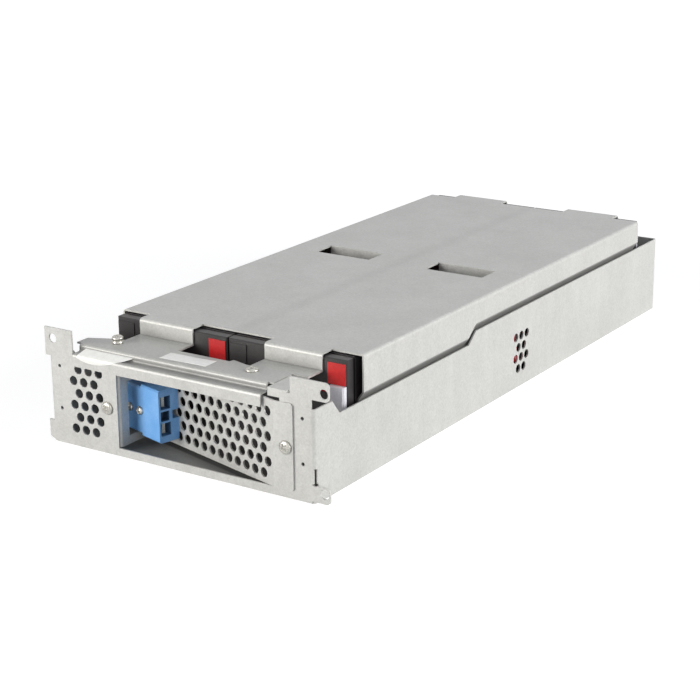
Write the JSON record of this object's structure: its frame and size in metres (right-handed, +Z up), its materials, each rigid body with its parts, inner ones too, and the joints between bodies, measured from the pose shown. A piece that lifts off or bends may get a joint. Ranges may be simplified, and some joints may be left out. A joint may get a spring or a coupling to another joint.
{
  "type": "ups battery cartridge",
  "caption": "Flat sheet-metal battery cartridge: open folded tray, notched cover over sealed battery blocks, perforated front with a slanted recess holding a blue power connector.",
  "frame": {"origin": "centre of the underside of the tray floor", "axes": "+X to the right seen from the perforated front, +Y from the front to the rear, +Z up"},
  "size_m": [0.23, 0.5104, 0.0823],
  "materials": {
    "galvanised_sheet": "galvanised",
    "plated_screw": "zinc plated",
    "battery_case": "moulded ABS",
    "red_seal": "cast resin",
    "nylon_sleeve": "moulded nylon",
    "blue_housing": "moulded",
    "silvered_contact": "silver plated",
    "red_lead": "extruded jacket",
    "black_lead": "extruded jacket"
  },
  "bodies": {
    "root": {"battery_cover": "galvanised_sheet", "battery_left_first": "battery_case", "battery_left_fourth": "battery_case", "battery_left_second": "battery_case", "battery_left_third": "battery_case", "battery_right_first": "battery_case", "battery_right_fourth": "battery_case", "battery_right_second": "battery_case", "battery_right_third": "battery_case", "connector_bracket": "galvanised_sheet", "connector_housing": "blue_housing", "connector_screws": "plated_screw", "front_screws": "plated_screw", "jumper_duct_front": "black_lead", "jumper_duct_rear": "black_lead", "jumper_front": "black_lead", "jumper_middle": "red_lead", "jumper_rear": "black_lead", "jumper_second": "black_lead", "jumper_third": "black_lead", "negative_contact": "silvered_contact", "negative_lead": "black_lead", "negative_sleeve_left_first": "nylon_sleeve", "negative_sleeve_left_fourth": "nylon_sleeve", "negative_sleeve_left_second": "nylon_sleeve", "negative_sleeve_left_third": "nylon_sleeve", "negative_sleeve_right_first": "nylon_sleeve", "negative_sleeve_right_fourth": "nylon_sleeve", "negative_sleeve_right_second": "nylon_sleeve", "negative_sleeve_right_third": "nylon_sleeve", "positive_contact": "silvered_contact", "positive_lead": "red_lead", "positive_seal_left_first": "red_seal", "positive_seal_left_fourth": "red_seal", "positive_seal_left_second": "red_seal", "positive_seal_left_third": "red_seal", "positive_seal_right_first": "red_seal", "positive_seal_right_fourth": "red_seal", "positive_seal_right_second": "red_seal", "positive_seal_right_third": "red_seal", "positive_sleeve_left_first": "nylon_sleeve", "positive_sleeve_left_fourth": "nylon_sleeve", "positive_sleeve_left_second": "nylon_sleeve", "positive_sleeve_left_third": "nylon_sleeve", "positive_sleeve_right_first": "nylon_sleeve", "positive_sleeve_right_fourth": "nylon_sleeve", "positive_sleeve_right_second": "nylon_sleeve", "positive_sleeve_right_third": "nylon_sleeve", "shelf_screws": "plated_screw", "tray": "galvanised_sheet"}
  },
  "joints": []
}
